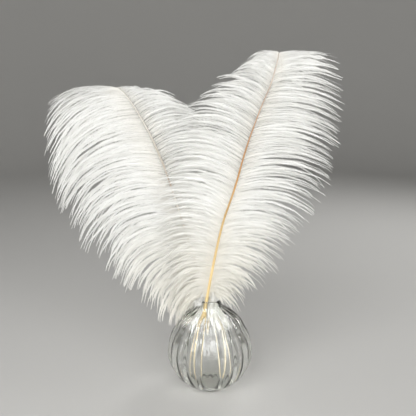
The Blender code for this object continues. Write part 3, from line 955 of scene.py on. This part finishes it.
def shaft_mesh(name, shaft, material):
    """Sweep a tapering tube along a shaft, closed at both ends."""
    arcs = np.linspace(0.0, shaft["arc"][-1], SHAFT_RINGS)
    path, right, front = (read_at(shaft[key], shaft["arc"], arcs)
                          for key in ("path", "right", "front"))
    radius = np.interp(arcs, *zip(*QUILL_RADII))
    turn = np.arange(SHAFT_SIDES) * math.tau / SHAFT_SIDES
    ring = np.stack([path + radius[:, None] * (math.cos(a) * right
                                               + SHAFT_FLATNESS * math.sin(a) * front)
                     for a in turn], axis=1)
    points = np.concatenate((ring.reshape(-1, 3), path[:1], path[-1:]))
    index = np.arange(SHAFT_RINGS * SHAFT_SIDES).reshape(SHAFT_RINGS, SHAFT_SIDES)
    first, last = index[0], index[-1]
    foot = np.stack((np.full(SHAFT_SIDES, len(points) - 2), np.roll(first, -1), first), -1)
    tip = np.stack((np.full(SHAFT_SIDES, len(points) - 1), last, np.roll(last, -1)), -1)
    faces = np.concatenate((tube_faces(index), foot, tip))
    around = np.tile(np.arange(SHAFT_SIDES) / SHAFT_SIDES, SHAFT_RINGS)
    around = np.concatenate((around, (0.5, 0.5)))
    height = np.repeat(np.linspace(*MAP_HEIGHTS, SHAFT_RINGS), SHAFT_SIDES)
    height = np.concatenate((height, (0.0, 1.0)))
    u = around[faces]
    u = np.where(u.max(axis=1, keepdims=True) - u > SEAM_GAP, u + 1.0, u) * MAP_WIDTH
    uv = np.stack((u, height[faces]), axis=-1)
    return mesh_object(name, points * MM, faces, uv, material, smooth=True)


for piece_name, shaft, material, node_name in (
        ("right_plume_shaft", right_shaft, tan_horn, "feather_right"),
        ("left_plume_shaft", left_shaft, pale_horn, "feather_left")):
    piece = shaft_mesh(piece_name, shaft, material)
    total_triangles += stand_for(piece, node_name)

# %% [markdown]
# ## Down in the neck
#
# Where a vane begins, the barbs are short, soft and unruly. Most of them plug the
# vase's neck round the quills and hang into the bulb. The others stand over the rim as
# a collar, and a few fall outside it at the left as wisps. Points that would pass
# through the glass are moved in to it, and points in front of the front quill go behind
# it, because the photograph shows the quill in the neck.

# %% Hold the down inside the glass
# Pairs of height and the largest radius, in mm.
GLASS_LIMIT = ((66.0, 30.0), (80.0, 19.5), (84.0, 13.5), (86.0, 10.8), (88.0, 9.2),
               (90.0, 8.3), (97.5, 8.3), (99.0, 14.0), (104.0, 30.0))
QUILL_ROOM = (4.2, 1.2)  # mm kept clear beside and behind the front quill
LOW_SHAFT_POINTS = 200   # of the shaft's points, the rising half


def keep_in_glass(points):
    """Press points that would pass through the glass in towards the axis."""
    limit = np.interp(points[..., 2], *zip(*GLASS_LIMIT))
    radius = np.hypot(points[..., 0], points[..., 1])
    scale = np.minimum(1.0, limit / np.maximum(radius, 0.01))
    return points * np.stack((scale, scale, np.ones_like(scale)), axis=-1)


def keep_behind_quill(points):
    """Move points that would hide the front quill to just behind it."""
    x, y, z = points[..., 0], points[..., 1], points[..., 2]
    path = right_shaft["path"][:LOW_SHAFT_POINTS]
    quill_x, quill_y = (np.interp(z, path[:, 2], path[:, i]) for i in (0, 1))
    near = np.abs(x - quill_x) < QUILL_ROOM[0]
    deep = np.maximum(y, quill_y + QUILL_ROOM[1])
    return np.stack((x, np.where(near, deep, y), z), -1)


print("room in the neck:", min(radius for _, radius in GLASS_LIMIT), "mm from the axis")

# %% Grow the down
DOWN_REACH = (84.0, 108.0)    # mm along the quill
DOWN_COUNT = 330
DOWN_STEPS = 14
DOWN_LENGTHS = ((0.0, 1.2), (0.3, 2.0), (0.8, 1.8), (1.0, 0.9))
DOWN_PER_MM = 5.5
DOWN_WIDTH = 0.42             # mm
DOWN_TILT = (-48, 48)         # degrees
DOWN_STATIONS = (0.15, 0.35)  # in the map, for the colour
PLUG_SHARE = 0.76             # of the barbs, inside the neck
PLUG_ENDS = (67.0, 92.0)      # mm, heights of their tips
PLUG_ROOM = (0.1, 1.0)        # of the neck's area, out to their tips
COLLAR_ENDS = (98.0, 105.0)   # mm
COLLAR_RADII = (7.0, 15.0)    # mm
WISP_SHARE = 0.3              # of the collar, over the rim at the left
WISP_ENDS = (88.0, 97.0)      # mm
WISP_RADII = (15.0, 18.0)     # mm
WISP_BEARINGS = (math.pi + 0.25, 0.3)  # radians, mean and spread
ARCH = (0.45, 0.55)           # weights of root and tip in a barb's arch
ARCH_LIFT = (0.0, 3.0)        # mm over the higher of the two
KINK = 0.9                    # mm, the error of one step
KINK_SHARE = 0.3              # of the summed errors that shows


def grow_down(shaft, seed):
    """Return the soft barbs of one quill that fill the neck and lie on the rim."""
    rng = np.random.default_rng(seed)
    at = rng.uniform(*DOWN_REACH, DOWN_COUNT)
    root = read_at(shaft["path"], shaft["arc"], at)
    plug = rng.random(DOWN_COUNT) < PLUG_SHARE
    wisp = ~plug & (rng.random(DOWN_COUNT) < WISP_SHARE)
    height = np.where(plug, rng.uniform(*PLUG_ENDS, DOWN_COUNT),
                      rng.uniform(*COLLAR_ENDS, DOWN_COUNT))
    room = np.interp(height, *zip(*GLASS_LIMIT))
    room = room * np.sqrt(rng.uniform(*PLUG_ROOM, DOWN_COUNT))
    radius = np.where(plug, room, rng.uniform(*COLLAR_RADII, DOWN_COUNT))
    bearing = rng.uniform(0.0, math.tau, DOWN_COUNT)
    height = np.where(wisp, rng.uniform(*WISP_ENDS, DOWN_COUNT), height)
    radius = np.where(wisp, rng.uniform(*WISP_RADII, DOWN_COUNT), radius)
    bearing = np.where(wisp, rng.normal(*WISP_BEARINGS, DOWN_COUNT), bearing)
    tip = np.stack((radius * np.cos(bearing), radius * np.sin(bearing), height), axis=-1)
    arch = root * ARCH[0] + tip * ARCH[1]
    arch[:, 2] = np.maximum(root[:, 2], tip[:, 2]) + rng.uniform(*ARCH_LIFT, DOWN_COUNT)
    root, arch, tip = root[:, None], arch[:, None], tip[:, None]
    t = np.linspace(0.0, 1.0, DOWN_STEPS + 1)[None, :, None]
    path = (1 - t) ** 2 * root + 2 * t * (1 - t) * arch + t**2 * tip
    path = path + t * rng.normal(0.0, KINK, path.shape).cumsum(axis=1) * KINK_SHARE
    path = keep_behind_quill(np.where(wisp[:, None, None], path, keep_in_glass(path)))
    heading = unit(np.gradient(path, axis=1) + 1e-6)
    face = unit(np.cross(heading, rng.normal(size=(DOWN_COUNT, 1, 3))))
    return dict(path=path, face=face, upper=np.cross(heading, face),
                tilt=rng.uniform(*DOWN_TILT, DOWN_COUNT),
                stations=rng.uniform(*DOWN_STATIONS, DOWN_COUNT), rng=rng)


for piece_name, shaft, node_name, seed in (
        ("right_plume_down", right_shaft, "feather_right", 21),
        ("left_plume_down", left_shaft, "feather_left", 22)):
    piece = barb_mesh(piece_name, grow_down(shaft, seed), barb_white, DOWN_LENGTHS,
                      per_mm=DOWN_PER_MM, width=DOWN_WIDTH)
    total_triangles += stand_for(piece, node_name)
print("triangles in all:", total_triangles)
